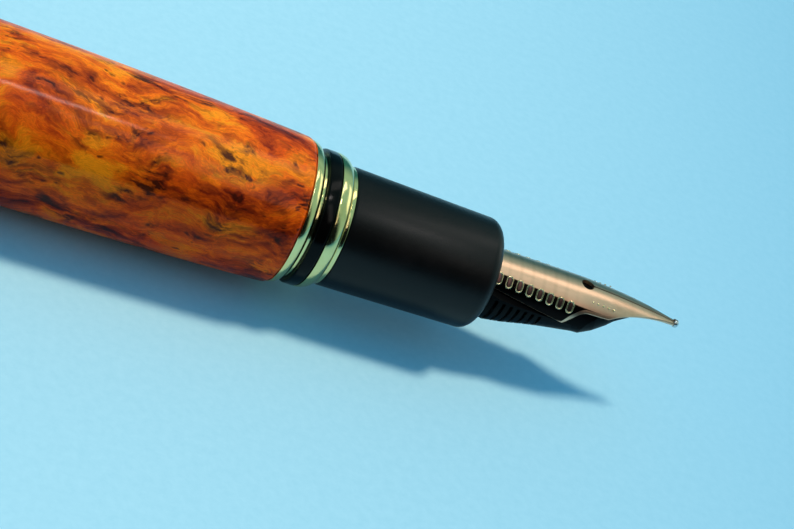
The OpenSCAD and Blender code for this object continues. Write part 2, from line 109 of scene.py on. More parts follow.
nib_in = grip_front - nib_rear
nib_out = nib_front - grip_front
nib_sheet = 0.3         # thickness of the nib's sheet
nib_drop = 0.85         # drop of the tines at the point
bend_from_grip = 8.1    # where the tines start to bend down
bend_power = 1.7
skirt_len = 7.5         # straight lower edge of the nib, in front of the grip
skirt_rear_z = 1.0      # height of that edge at the grip
skirt_front_z = -0.2    # height of that edge at its front end
notch_len = 1.9         # length of the curved rise in front of the skirt
shoulder_from_grip = 11.4
shoulder_z = 1.34       # height of the edge from the notch to the shoulder
point_half_width = 0.34
tine_power = 1.35
hole_from_grip = 8.9    # middle of the breather hole
hole_r = 0.6
slit_half = 0.06        # half of the slit's width


# ---- Mesh makers ----

def rounded(corners):
    """Closed outline through corners (x, radius, rounding), with each corner rounded by an arc."""
    points = []
    for i, (x, r, rounding) in enumerate(corners):
        here = Vector((x, r))
        if rounding == 0:
            points.append(here)
            continue
        back = (Vector(corners[i - 1][:2]) - here).normalized()
        ahead = (Vector(corners[(i + 1) % len(corners)][:2]) - here).normalized()
        half = back.angle(ahead) / 2
        centre = here + (back + ahead).normalized() * rounding / math.sin(half)
        start = here + back * rounding / math.tan(half) - centre
        end = here + ahead * rounding / math.tan(half) - centre
        turn = start.angle_signed(end)
        for k in range(ROUND_STEPS + 1):
            points.append(centre + Matrix.Rotation(-turn * k / ROUND_STEPS, 2) @ start)
    return [(p.x, max(p.y, 0.0)) for p in points]


def turned(outline, steps=TURN_STEPS):
    """Mesh of a closed outline of (x, radius) points turned round the pen's axis."""
    work = bmesh.new()
    rings = []
    for x, r in outline:
        if r < 1e-6:
            rings.append([work.verts.new((x, 0, 0))])
            continue
        angles = [2 * math.pi * k / steps for k in range(steps)]
        rings.append([work.verts.new((x, r * math.cos(a), r * math.sin(a))) for a in angles])
    for first, second in zip(rings, rings[1:] + rings[:1]):
        for k in range(steps):
            m = (k + 1) % steps
            corners = list(dict.fromkeys((first[k % len(first)], first[m % len(first)],
                                          second[m % len(second)], second[k % len(second)])))
            if len(corners) > 2:
                work.faces.new(corners)
    return closed(work)


def written(work):
    """Mesh of a bmesh, which is then freed."""
    mesh = bpy.data.meshes.new("mesh")
    work.to_mesh(mesh)
    work.free()
    return mesh


def closed(work):
    """Mesh of a finished, closed bmesh, with its faces turned outwards."""
    bmesh.ops.remove_doubles(work, verts=work.verts, dist=SAME_PLACE)
    bmesh.ops.recalc_face_normals(work, faces=work.faces)
    return written(work)


def lofted(sections):
    """Mesh through closed sections with the same number of points, closed at both ends."""
    work = bmesh.new()
    loops = [[work.verts.new(p) for p in section] for section in sections]
    for first, second in zip(loops, loops[1:]):
        for k in range(len(first)):
            m = (k + 1) % len(first)
            work.faces.new((first[k], first[m], second[m], second[k]))
    work.faces.new(loops[0])
    work.faces.new(loops[-1])
    return closed(work)


def joined(*meshes):
    """One mesh from several separate closed ones."""
    work = bmesh.new()
    for mesh in meshes:
        work.from_mesh(mesh)
        bpy.data.meshes.remove(mesh)
    return written(work)


def baked(carrier):
    """The evaluated mesh of a working object, which is then removed."""
    bpy.context.view_layer.update()
    seen = carrier.evaluated_get(bpy.context.evaluated_depsgraph_get())
    mesh = bpy.data.meshes.new_from_object(seen)
    old = carrier.data
    carrier.modifiers.clear()
    bpy.data.objects.remove(carrier)
    bpy.data.meshes.remove(old)
    return mesh


def settle(name, mesh, finish, body, slot, *nodes, sharp=35):
    """Puts a finished mesh on its body, in place of the plain solids that it stands for."""
    mesh.transform(Matrix.Scale(MM, 4))
    mesh.shade_smooth()
    mesh.set_sharp_from_angle(angle=math.radians(sharp))
    mesh.materials.clear()
    mesh.materials.append(finish)
    mesh.name = name
    piece = bpy.data.objects.new(name, mesh)
    bpy.context.scene.collection.objects.link(piece)
    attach(piece, body)
    if nodes:
        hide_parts(*nodes)
    return piece


# ---- Nodes for finishes ----

def paint(code):
    """Linear colour of a hex code such as #b8651b."""
    parts = [int(code[i:i + 2], 16) / 255 for i in (1, 3, 5)]
    return [c / 12.92 if c <= 0.04045 else ((c + 0.055) / 1.055) ** 2.4 for c in parts] + [1]


class Graph:
    """Adds nodes to a tree, with their inputs given as values or as other nodes' outputs."""

    def __init__(self, tree):
        self.tree = tree
        self.tree.nodes.clear()

    def add(self, kind, inputs=None, **settings):
        node = self.tree.nodes.new(kind)
        for key, value in settings.items():
            setattr(node, key, value)
        for key, value in (inputs or {}).items():
            if isinstance(value, bpy.types.NodeSocket):
                self.tree.links.new(value, node.inputs[key])
            else:
                node.inputs[key].default_value = value
        return node

    def link(self, output, target):
        self.tree.links.new(output, target)

    def math(self, operation, first, second=0.0, third=0.0):
        return self.add("ShaderNodeMath", {0: first, 1: second, 2: third}, operation=operation).outputs[0]

    def vector(self, operation, first, second=(0, 0, 0)):
        return self.add("ShaderNodeVectorMath", {0: first, 1: second}, operation=operation).outputs[0]

    def point(self, x=0.0, y=0.0, z=0.0):
        return self.add("ShaderNodeCombineXYZ", {0: x, 1: y, 2: z}).outputs[0]

    def scaled(self, place, factors):
        return self.vector("MULTIPLY", place, factors)

    def noise(self, place, scale, detail=3, roughness=0.5, distortion=0.0):
        return self.add("ShaderNodeTexNoise", {"Vector": place, "Scale": scale, "Detail": detail,
                                               "Roughness": roughness, "Distortion": distortion})

    def spread(self, value, low, high, to_low=0.0, to_high=1.0):
        return self.add("ShaderNodeMapRange", {"Value": value, "From Min": low, "From Max": high,
                                               "To Min": to_low, "To Max": to_high}).outputs[0]

    def ramp(self, value, *stops):
        node = self.add("ShaderNodeValToRGB", {"Fac": value})
        node.color_ramp.interpolation = "EASE"
        elements = node.color_ramp.elements
        while len(elements) < len(stops):
            elements.new(0.5)
        for element, (place, code) in zip(elements, stops):
            element.position = place
            element.color = paint(code)
        return node.outputs["Color"]

    def mix(self, factor, first, second, blend="MIX"):
        node = self.add("ShaderNodeMix", data_type="RGBA", blend_type=blend)
        for socket, value in ((node.inputs[0], factor), (node.inputs[6], first), (node.inputs[7], second)):
            if isinstance(value, bpy.types.NodeSocket):
                self.tree.links.new(value, socket)
            else:
                socket.default_value = value
        return node.outputs[2]


def new_group(name, inputs, outputs, kind="ShaderNodeTree"):
    """Empty node group with named sockets, and its graph, input node and output node."""
    tree = bpy.data.node_groups.new(name, kind)
    graph = Graph(tree)
    for label, socket_type, value in inputs:
        socket = tree.interface.new_socket(label, in_out="INPUT", socket_type=socket_type)
        if value is not None:
            socket.default_value = value
    for label, socket_type in outputs:
        tree.interface.new_socket(label, in_out="OUTPUT", socket_type=socket_type)
    return tree, graph, graph.add("NodeGroupInput"), graph.add("NodeGroupOutput")


VECTOR, FLOAT, COLOR = "NodeSocketVector", "NodeSocketFloat", "NodeSocketColor"


def burl_figure():
    """Burl: amber flames along the piece, feathered dark streaks, small dark eyes and fine fibres."""
    tree, graph, given, result = new_group(
        "burl figure",
        [("Place", VECTOR, None), ("Shift", VECTOR, (0, 0, 0)), ("Redness", FLOAT, 0.5)],
        [("Color", COLOR), ("Fibre", FLOAT)])
    place = graph.vector("ADD", given.outputs["Place"], given.outputs["Shift"])
    swirl = graph.vector("SUBTRACT", graph.noise(place, 0.10, 2, 0.5).outputs["Color"], (0.5, 0.5, 0.5))
    curl = graph.vector("SUBTRACT", graph.noise(place, 0.6, 3, 0.55).outputs["Color"], (0.5, 0.5, 0.5))
    bent = graph.vector("ADD", place, graph.scaled(swirl, (9, 7, 7)))
    bent = graph.vector("ADD", bent, graph.scaled(curl, (1.6, 1.1, 1.1)))
    flame = graph.noise(graph.scaled(bent, (0.42, 1, 1)), 0.30, 3, 0.5).outputs["Fac"]
    streak = graph.noise(graph.scaled(bent, (0.26, 1, 1)), 1.15, 4, 0.62).outputs["Fac"]
    figure = graph.math("MULTIPLY_ADD", streak, 0.42, graph.math("MULTIPLY", flame, 0.58))
    tone = graph.ramp(figure, (0.345, "#481203"), (0.392, "#8a2b03"), (0.435, "#b94804"), (0.478, "#dc5e04"),
                      (0.53, "#f67806"), (0.59, "#fe9510"))
    patch = graph.noise(place, 0.12, 2, 0.5).outputs["Fac"]
    red = graph.math("MULTIPLY", graph.spread(patch, 0.44, 0.60), given.outputs["Redness"])
    tone = graph.mix(red, tone, paint("#d85a1c"), "MULTIPLY")
    crowd = graph.noise(graph.scaled(bent, (0.6, 1, 1)), 0.34, 2, 0.5).outputs["Fac"]
    feather = graph.noise(graph.scaled(bent, (0.3, 1, 1)), 1.5, 3, 0.6).outputs["Fac"]
    dark = graph.math("MULTIPLY", graph.spread(crowd, 0.44, 0.60), graph.spread(feather, 0.42, 0.62))
    tone = graph.mix(graph.math("MULTIPLY", dark, 0.95), tone, paint("#3a0f04"))
    eyes = graph.add("ShaderNodeTexVoronoi", {"Vector": graph.scaled(bent, (0.6, 1, 1)), "Scale": 1.1,
                                              "Randomness": 1.0}).outputs["Distance"]
    nest = graph.spread(graph.noise(place, 0.16, 2, 0.5).outputs["Fac"], 0.54, 0.60)
    dots = graph.math("MULTIPLY", graph.spread(eyes, 0.24, 0.10), nest)
    tone = graph.mix(graph.math("MULTIPLY", dots, 0.8), tone, paint("#2c0a04"))
    fibre = graph.noise(graph.scaled(bent, (0.12, 1, 1)), 9.0, 3, 0.6).outputs["Fac"]
    shade = graph.spread(fibre, 0.35, 0.65, 0.80, 1.12)
    grey = graph.add("ShaderNodeCombineColor", {0: shade, 1: shade, 2: shade}).outputs[0]
    tone = graph.mix(1.0, tone, grey, "MULTIPLY")
    graph.link(tone, result.inputs["Color"])
    graph.link(fibre, result.inputs["Fibre"])
    return tree


def handled_finish():
    """Wear of a handled surface: soft smudges, hair scratches and fine lathe lines."""
    tree, graph, given, result = new_group(
        "handled finish",
        [("Place", VECTOR, None), ("Roughness", FLOAT, 0.2), ("Smudge", FLOAT, 0.05),
         ("Lines", FLOAT, 40.0)],
        [("Roughness", FLOAT), ("Height", FLOAT), ("Dust", FLOAT)])
    place = given.outputs["Place"]
    smudge = graph.noise(place, 0.35, 4, 0.65).outputs["Fac"]
    hair = graph.noise(graph.scaled(place, (0.15, 1.0, 1.3)), 5.0, 2, 0.5, 1.5).outputs["Fac"]
    scratch = graph.spread(graph.math("ABSOLUTE", graph.math("SUBTRACT", hair, 0.5)), 0.006, 0.0)
    lines = graph.noise(graph.scaled(place, (1, 0.01, 0.01)), given.outputs["Lines"], 2, 0.7).outputs["Fac"]
    rough = graph.math("MULTIPLY_ADD", graph.math("SUBTRACT", smudge, 0.4), given.outputs["Smudge"],
                       given.outputs["Roughness"])
    rough = graph.math("MULTIPLY_ADD", scratch, 0.05, rough)
    graph.link(graph.math("MAXIMUM", rough, 0.03), result.inputs["Roughness"])
    graph.link(graph.math("MULTIPLY_ADD", scratch, -0.5, lines), result.inputs["Height"])
    graph.link(graph.spread(smudge, 0.5, 0.8), result.inputs["Dust"])
    return tree


BURL = burl_figure()
HANDLED = handled_finish()


def finish(name, **plain):
    """Material with a Principled shader whose plain values are given, its graph, shader and place in mm."""
    made = bpy.data.materials.new(name)
    made.use_nodes = True
    graph = Graph(made.node_tree)
    values = {key.replace("_", " "): value for key, value in plain.items()}
    shader = graph.add("ShaderNodeBsdfPrincipled", values)
    graph.add("ShaderNodeOutputMaterial", {"Surface": shader.outputs[0]})
    place = graph.scaled(graph.add("ShaderNodeTexCoord").outputs["Object"], (1 / MM, 1 / MM, 1 / MM))
    return made, graph, shader, place


def use_handled(graph, shader, place, roughness, smudge, lines, bump):
    """Feeds a shader's roughness and normal from the handled finish, and gives the dust mask back."""
    wear = graph.add("ShaderNodeGroup", node_tree=HANDLED)
    graph.link(place, wear.inputs["Place"])
    wear.inputs["Roughness"].default_value = roughness
    wear.inputs["Smudge"].default_value = smudge
    wear.inputs["Lines"].default_value = lines
    graph.link(wear.outputs["Roughness"], shader.inputs["Roughness"])
    if bump:
        relief = graph.add("ShaderNodeBump", {"Strength": bump, "Distance": 0.02 * MM,
                                              "Height": wear.outputs["Height"]})
        graph.link(relief.outputs[0], shader.inputs["Normal"])
    return wear.outputs["Dust"]


def burl_finish(name, shift, redness):
    """Lacquered burl: figured wood under a clear, glossy coat."""
    made, graph, shader, place = finish(name, IOR=1.4, Specular_IOR_Level=0.12, Coat_Weight=0.22,
                                         Coat_Roughness=0.1, Coat_IOR=1.4)
    figure = graph.add("ShaderNodeGroup", node_tree=BURL)
    graph.link(place, figure.inputs["Place"])
    figure.inputs["Shift"].default_value = shift
    figure.inputs["Redness"].default_value = redness
    graph.link(figure.outputs["Color"], shader.inputs["Base Color"])
    fibre = figure.outputs["Fibre"]
    graph.link(graph.spread(fibre, 0.3, 0.7, 0.30, 0.46), shader.inputs["Roughness"])
    relief = graph.add("ShaderNodeBump", {"Strength": 0.35, "Distance": 0.05 * MM, "Height": fibre})
    graph.link(relief.outputs[0], shader.inputs["Normal"])
    return made


def metal_finish(name, light, dark, roughness, smudge=0.06, lines=30.0, bump=0.15):
    """Polished or satin metal whose colour deepens a little where it is handled."""
    made, graph, shader, place = finish(name, Metallic=1.0)
    dust = use_handled(graph, shader, place, roughness, smudge, lines, bump)
    graph.link(graph.mix(dust, paint(light), paint(dark)), shader.inputs["Base Color"])
    return made


def plastic_finish(name, light, dark, roughness, smudge=0.08, lines=12.0, bump=0.1, **plain):
    """Moulded or turned plastic with a faintly uneven sheen."""
    made, graph, shader, place = finish(name, **plain)
    dust = use_handled(graph, shader, place, roughness, smudge, lines, bump)
    graph.link(graph.mix(dust, paint(dark), paint(light)), shader.inputs["Base Color"])
    return made


def nib_finish():
    """Champagne plate with a painted dark reflection along each skirt that stops short of the edge, leaving a
    strip of plain plate round the notch, and painted shade between the tongues.
    """
    made, graph, shader, place = finish("champagne nib plate", Metallic=1.0)
    dust = use_handled(graph, shader, place, 0.3, 0.06, 22.0, 0.12)
    spot = graph.add("ShaderNodeSeparateXYZ", {0: place})
    ahead = graph.math("SUBTRACT", spot.outputs["X"], grip_front)
    # The skirt is painted near black up to a border above its edge: a painted dark reflection of the shaded
    # floor.
    side_border, notch_border = 0.045, 0.24
    border = graph.spread(ahead, skirt_len - 0.6, skirt_len + 0.3, side_border, notch_border)
    reached = graph.math("ADD", ahead, border)
    slope = (skirt_front_z - skirt_rear_z) / skirt_len
    skirt = graph.math("MULTIPLY_ADD", graph.math("MINIMUM", reached, skirt_len), slope, skirt_rear_z)
    part = graph.spread(reached, skirt_len, skirt_len + notch_len, 0.0, math.pi / 2)
    notch = graph.math("MULTIPLY", graph.math("SINE", part), shoulder_z - skirt_front_z)
    edge = graph.math("ADD", graph.math("ADD", skirt, notch), border)
    dark_reflection_top, dark_reflection_slope = 2.12, -0.05
    top = graph.math("MULTIPLY_ADD", ahead, dark_reflection_slope, dark_reflection_top)
    above = graph.spread(graph.math("SUBTRACT", spot.outputs["Z"], edge), -0.02, 0.03)
    below = graph.spread(graph.math("SUBTRACT", top, spot.outputs["Z"]), -0.02, 0.03)
    dark_reflection_mask = graph.math("MULTIPLY", above, below)
    # Painted shade in the gaps between the tongues: darker plate in waves along the nib, fading out in front
    # of the last tongue.
    gap_shade_pitch, gap_shade_fade_from, gap_shade_end = 1.1, 7.6, 8.4
    wave = graph.math("SINE", graph.math("MULTIPLY", ahead, 2 * math.pi / gap_shade_pitch))
    gap_shade_fade = graph.spread(ahead, gap_shade_fade_from, gap_shade_end, 1.0, 0.0)
    gap_shade = graph.math("MULTIPLY", graph.spread(wave, 0.2, 1.0), gap_shade_fade)
    plate = graph.mix(dust, paint("#e8b898"), paint("#d6a282"))
    plate = graph.mix(graph.math("MULTIPLY", gap_shade, 0.2), plate, paint("#b98f74"))
    # Painted dark reflection: near-black plate over the skirt's panel.
    graph.link(graph.mix(dark_reflection_mask, plate, paint("#171110")), shader.inputs["Base Color"])
    return made


def clear_finish(name):
    """Clear tube: faintly smoky plastic with moulding streaks."""
    made, graph, shader, place = finish(name, Transmission_Weight=1.0, IOR=1.46)
    dust = use_handled(graph, shader, place, 0.06, 0.05, 6.0, 0.05)
    graph.link(graph.mix(dust, paint("#f4f8fa"), paint("#e3ecf1")), shader.inputs["Base Color"])
    return made


barrel_burl = burl_finish("lacquered burl, barrel", (-55.9, 20.6, -22.0), 0.35)
cap_burl = burl_finish("lacquered burl, cap", (31, 7, -12), 0.3)
gold = metal_finish("polished gold plate", "#f0dd9a", "#e2c980", 0.10)
nib_gold = nib_finish()
# Dark colour for the flat dots inside the tongues' loops: a painted dark reflection.
nib_dark_reflection = metal_finish("painted dark reflection in nib loops", "#7b5a55", "#5e4340", 0.3, 0.05, 22.0, 0.1)
nib_bright = metal_finish("bright nib relief", "#f4d8a8", "#e6bf8c", 0.2, 0.05, 22.0, 0.1)
brass = metal_finish("turned brass", "#d9b35c", "#b98f3c", 0.28, 0.1, 9.0, 0.5)
steel = metal_finish("polished steel", "#d9dcde", "#b9bdc0", 0.16)
tip_metal = metal_finish("hard tip alloy", "#cfd0d0", "#a9abad", 0.2)
gloss_black = plastic_finish("polished black resin", "#060505", "#030303", 0.14, 0.04, 8.0, 0.03,
                             Specular_IOR_Level=0.10)
satin_black = plastic_finish("satin black grip", "#100c0c", "#080606", 0.34, 0.12, 14.0, 0.25,
                             Specular_IOR_Level=0.25)
moulded_black = plastic_finish("moulded black plastic", "#131417", "#0b0c0e", 0.22, 0.1, 10.0, 0.15)
feed_black = plastic_finish("moulded feed plastic", "#050507", "#030304", 0.4, 0.08, 5.0, 0.15,
                            Specular_IOR_Level=0.05)
seal_rubber = plastic_finish("seal rubber", "#2c2c31", "#1d1d21", 0.5, 0.1, 6.0, 0.3)
clear_plastic = clear_finish("clear converter plastic")


# ---- Repeated shapes, grown by geometry nodes ----

INTEGER, MATERIAL, GEOMETRY = "NodeSocketInt", "NodeSocketMaterial", "NodeSocketGeometry"


def finish_tree(graph, given, result, geometry):
    """Ends a geometry tree: real copies that carry the given material."""
    real = graph.add("GeometryNodeRealizeInstances", {"Geometry": geometry}).outputs[0]
    dressed = graph.add("GeometryNodeSetMaterial", {"Geometry": real, "Material": given.outputs["Material"]})
    graph.link(dressed.outputs[0], result.inputs["Geometry"])


def wound_thread():
    """Helical ridge round the X axis, from Start backwards to forwards."""
    tree, graph, given, result = new_group(
        "wound thread",
        [("Start", FLOAT, 0.0), ("Turns", FLOAT, 5.0), ("Pitch", FLOAT, 1.0), ("Radius", FLOAT, 4.0),
         ("Ridge", FLOAT, 0.2), ("Material", MATERIAL, None)],
        [("Geometry", GEOMETRY)], "GeometryNodeTree")
    height = graph.math("MULTIPLY", given.outputs["Turns"], given.outputs["Pitch"])
    spiral = graph.add("GeometryNodeCurveSpiral", {
        "Resolution": 48, "Rotations": given.outputs["Turns"], "Start Radius": given.outputs["Radius"],
        "End Radius": given.outputs["Radius"], "Height": height})
    ridge = graph.add("GeometryNodeCurvePrimitiveCircle", {"Resolution": 8, "Radius": given.outputs["Ridge"]})
    body = graph.add("GeometryNodeCurveToMesh", {
        "Curve": spiral.outputs[0], "Profile Curve": ridge.outputs[0], "Fill Caps": True})
    start = graph.point(given.outputs["Start"])
    laid = graph.add("GeometryNodeTransform", {"Geometry": body.outputs[0], "Translation": start,
                                               "Rotation": (0, math.pi / 2, 0)})
    finish_tree(graph, given, result, laid.outputs[0])
    return tree


def ribs_round():
    """Half-round ribs along the X axis, spaced evenly round it."""
    tree, graph, given, result = new_group(
        "ribs round the axis",
        [("Count", INTEGER, 24), ("Start", FLOAT, 0.0), ("Length", FLOAT, 5.0), ("Radius", FLOAT, 3.0),
         ("Rib", FLOAT, 0.2), ("Material", MATERIAL, None)],
        [("Geometry", GEOMETRY)], "GeometryNodeTree")
    rib = graph.add("GeometryNodeMeshCylinder", {"Vertices": 10, "Radius": given.outputs["Rib"],
                                                 "Depth": given.outputs["Length"]}).outputs[0]
    middle = graph.math("MULTIPLY_ADD", given.outputs["Length"], 0.5, given.outputs["Start"])
    place = graph.point(middle, z=given.outputs["Radius"])
    laid = graph.add("GeometryNodeTransform", {"Geometry": rib, "Translation": place,
                                               "Rotation": (0, math.pi / 2, 0)}).outputs[0]
    points = graph.add("GeometryNodePoints", {"Count": given.outputs["Count"]}).outputs[0]
    step = graph.math("DIVIDE", 2 * math.pi, given.outputs["Count"])
    angle = graph.math("MULTIPLY", graph.add("GeometryNodeInputIndex").outputs[0], step)
    turn = graph.point(angle)
    copies = graph.add("GeometryNodeInstanceOnPoints", {"Points": points, "Instance": laid,
                                                        "Rotation": turn})
    finish_tree(graph, given, result, copies.outputs[0])
    return tree


def row_round(tree_name, sizes, make_one):
    """Copies of one small shape on a turned face, in a row along X that leans round the axis."""
    tree, graph, given, result = new_group(
        tree_name,
        [("Count", INTEGER, 8), ("Start", FLOAT, 0.0), ("Pitch", FLOAT, 1.0),
         ("First Angle", FLOAT, 0.0), ("Angle Step", FLOAT, 0.0), ("Face Radius", FLOAT, 2.0),
         ("Material", MATERIAL, None)] + sizes,
        [("Geometry", GEOMETRY)], "GeometryNodeTree")
    up = graph.point(z=given.outputs["Face Radius"])
    one = make_one(graph, given)
    raised = graph.add("GeometryNodeTransform", {"Geometry": one, "Translation": up}).outputs[0]
    points = graph.add("GeometryNodePoints", {"Count": given.outputs["Count"]}).outputs[0]
    index = graph.add("GeometryNodeInputIndex").outputs[0]
    along = graph.math("MULTIPLY_ADD", index, given.outputs["Pitch"], given.outputs["Start"])
    angle = graph.math("MULTIPLY_ADD", index, given.outputs["Angle Step"], given.outputs["First Angle"])
    moved = graph.add("GeometryNodeSetPosition", {"Geometry": points, "Position": graph.point(along)})
    copies = graph.add("GeometryNodeInstanceOnPoints", {"Points": moved.outputs[0], "Instance": raised,
                                                        "Rotation": graph.point(angle)})
    finish_tree(graph, given, result, copies.outputs[0])
    return tree


def looped_rim(graph, given):
    """Raised rim round a tongue: a long loop with round ends."""
    loop = graph.add("GeometryNodeCurvePrimitiveQuadrilateral", {"Width": given.outputs["Width"],
                                                                 "Height": given.outputs["Height"]})
    radius = graph.math("MULTIPLY", given.outputs["Width"], 0.48)
    soft = graph.add("GeometryNodeFilletCurve", {"Curve": loop.outputs[0], "Count": 6, "Radius": radius,
                                                 "Limit Radius": True}, mode="POLY")
    wire = graph.add("GeometryNodeCurvePrimitiveCircle", {"Resolution": 8, "Radius": given.outputs["Rim"]})
    rim = graph.add("GeometryNodeCurveToMesh", {"Curve": soft.outputs[0], "Profile Curve": wire.outputs[0]})
    return rim.outputs[0]


def flat_dot(graph, given):
    """Low round dot."""
    dot = graph.add("GeometryNodeMeshUVSphere", {"Segments": 16, "Rings": 8, "Radius": 0.5}).outputs[0]
    return graph.add("GeometryNodeTransform", {"Geometry": dot, "Scale": given.outputs["Size"]}).outputs[0]


def grown(tree, **values):
    """Plain mesh of a geometry tree with its named inputs set."""
    carrier = bpy.data.objects.new("carrier", bpy.data.meshes.new("carrier"))
    bpy.context.scene.collection.objects.link(carrier)
    modifier = carrier.modifiers.new("grow", "NODES")
    modifier.node_group = tree
    wanted = {key.replace("_", " "): value for key, value in values.items()}
    for item in tree.interface.items_tree:
        if item.item_type == "SOCKET" and item.in_out == "INPUT" and item.name in wanted:
            modifier[item.identifier] = wanted[item.name]
    return baked(carrier)


THREAD = wound_thread()
RIBS = ribs_round()
TONGUES = row_round("row of tongues",
                    [("Width", FLOAT, 0.6), ("Height", FLOAT, 1.0), ("Rim", FLOAT, 0.08)], looped_rim)
DOTS = row_round("row of dots", [("Size", VECTOR, (1, 1, 1))], flat_dot)


# ---- Barrel and rings ----

def swell(d, length, front, belly, rear, at):
    """Radius of a profile that swells from its ends to its thickest place."""
    if d < at:
        return belly - (belly - front) * ((at - d) / at) ** 2
    return belly - (belly - rear) * ((d - at) / (length - at)) ** 2


def swelled_wood(front_x, rear_x, front, belly, rear, at, bore):
    """Swelling wood with rounded ends, its front end at front_x."""
    length = front_x - rear_x
    steps = 60
    outline = [(rear_x, bore), (front_x, bore)]
    for k in range(ROUND_STEPS + 1):
        a = math.pi / 2 * k / ROUND_STEPS
        outline.append((front_x - wood_round * (1 - math.cos(a)),
                        front - wood_round * (1 - math.sin(a))))
    for k in range(1, steps):
        d = wood_round + (length - 2 * wood_round) * k / steps
        outline.append((front_x - d, swell(d, length, front, belly, rear, at)))
    for k in range(ROUND_STEPS + 1):
        a = math.pi / 2 * k / ROUND_STEPS
        outline.append((rear_x + wood_round * (1 - math.sin(a)),
                        rear - wood_round * (1 - math.cos(a))))
    return turned(outline)


def stepped_ring(large_x, small_x, r, bore):
    """Trim ring with a rounded shoulder down from its large end to a thin plain strip at its small end."""
    side = 1 if small_x > large_x else -1
    outline = [(large_x, bore), (large_x, r - 0.06), (large_x + side * 0.02, r - 0.02)]
    steps = 20
    shoulder = abs(small_x - large_x) - strip_len
    full = math.acos(1 - step_drop / step_arc_r)
    for k in range(1, steps + 1):
        a = full * k / steps
        outline.append((large_x + side * shoulder * math.sin(a) / math.sin(full),
                        r - step_arc_r * (1 - math.cos(a))))
    edge = 0.06
    strip = r - step_drop
    outline += [(small_x - side * edge, strip), (small_x - side * edge * 0.3, strip - edge * 0.3),
                (small_x, strip - edge), (small_x, bore)]
    return turned(outline)


def barrel():
    """Wood, front ring, collar with its plug, and rear ring."""
    tube_r = reach("barrel_tube")[2]
    settle("burl_barrel",
           swelled_wood(wood_front, wood_rear, wood_front_r, wood_belly, wood_rear_r, belly_from_front,
                        tube_r + glue_gap),
           barrel_burl, "barrel", "burl_wood", "barrel_wood")
    settle("front_ring", stepped_ring(ring_rear, ring_front, ring_r, tube_bore),
           gold, "barrel", "gold_trim", "barrel_trim_ring")
    rear_x0, rear_x1, rear_r = reach("rear_trim_ring")
    settle("rear_ring", stepped_ring(rear_x1, rear_x0, rear_r, tube_bore),
           gold, "barrel", "gold_trim", "rear_trim_ring")
    plug_r = tube_bore - glue_gap
    settle("black_collar", turned(rounded([
        (collar_plug, thread_bore_r, 0.2), (collar_plug, plug_r, 0.15), (ring_front, plug_r, 0),
        (ring_front, collar_r, 0.2), (collar_front, collar_r, 0.2), (collar_front, thread_bore_r, 0.2)])),
        gloss_black, "barrel", "gloss_black", "barrel_coupler")


# ---- Section ----

def section():
    """Ring, grip with a rounded nose, and threaded tenon."""
    settle("grip_ring",
           stepped_ring(section_ring_rear, section_ring_front, section_ring_r, tenon_shank_r + 0.05),
           gold, "section_ring", "gold_trim", "section_trim_ring")
    outline = [(grip_rear, section_bore), (grip_rear, grip_r - 0.3), (grip_rear + 0.09, grip_r - 0.09),
               (grip_rear + 0.3, grip_r)]
    steps = 14
    for k in range(steps + 1):
        a = math.pi / 2 * k / steps
        outline.append((grip_front - grip_round * (1 - math.sin(a)),
                        grip_front_r - grip_round * (1 - math.cos(a))))
    outline.append((grip_front, section_bore + 0.15))
    outline.append((grip_front - 0.15, section_bore))
    settle("grip", turned(outline), satin_black, "section", "satin_black", "section_grip")
    thread_end = section_ring_rear - 0.4
    core = turned(rounded([
        (tenon_rear, section_bore, 0.1), (tenon_rear, thread_root_r, 0.25), (thread_end, thread_root_r, 0.1),
        (thread_end, neck_r, 0.1), (section_ring_rear, neck_r, 0), (section_ring_rear, tenon_shank_r, 0.1),
        (tenon_front, tenon_shank_r, 0.1), (tenon_front, section_bore, 0.1)]))
    ridge = grown(THREAD, Start=tenon_rear + 0.5, Turns=6.0, Pitch=1.0, Radius=thread_root_r - 0.01,
                  Ridge=0.22, Material=moulded_black)
    settle("section_thread", joined(core, ridge), moulded_black, "section", "satin_black", "section_tenon")


# ---- Nib ----

def nib_radius(d):
    """Outer radius of the nib's sheet at a distance in front of the grip."""
    if d < bend_from_grip:
        return nib_r
    return nib_r - nib_drop * ((d - bend_from_grip) / (nib_out - bend_from_grip)) ** bend_power


def edge_angle(d):
    """Angle from the top of the nib to the edge of its sheet."""
    r = nib_radius(d)
    if d > shoulder_from_grip:
        left = max(0.0, 1 - (d - shoulder_from_grip) / (nib_out - shoulder_from_grip))
        shoulder_w = math.sqrt(nib_radius(shoulder_from_grip) ** 2 - shoulder_z ** 2)
        return math.asin((point_half_width + (shoulder_w - point_half_width) * left ** tine_power) / r)
    z = skirt_rear_z + (skirt_front_z - skirt_rear_z) * min(max(d, 0), skirt_len) / skirt_len
    if d > skirt_len:
        part = min(1.0, (d - skirt_len) / notch_len)
        z = skirt_front_z + (shoulder_z - skirt_front_z) * math.sin(math.pi / 2 * part)
    return math.acos(z / r)


def slit_angle(d):
    """Angle from the top of the nib to the edge of the breather hole or the slit."""
    from_hole = d - hole_from_grip
    half = slit_half if from_hole > 0 else 0.0
    if abs(from_hole) < hole_r:
        half = max(half, math.sqrt(hole_r ** 2 - from_hole ** 2))
    return math.asin(half / nib_radius(d))


def nib_places():
    """Distances in front of the grip at which the nib's sheet is cut into sections."""
    places = [-nib_in + nib_in * k / 4 for k in range(4)]
    places += [skirt_len * k / 26 for k in range(27)]
    places += [skirt_len + notch_len * (k / 22) ** 1.4 for k in range(1, 23)]
    places += [hole_from_grip - hole_r * math.cos(math.pi * k / 16) for k in range(17)]
    places += [shoulder_from_grip + (nib_out - shoulder_from_grip) * k / 34 for k in range(35)]
    flat_from = skirt_len + notch_len
    places += [flat_from + (shoulder_from_grip - flat_from) * k / 6 for k in range(1, 6)]
    kept = []
    for d in sorted(places):
        if not kept or d - kept[-1] > 0.012:
            kept.append(d)
    kept[-1] = nib_out
    return kept


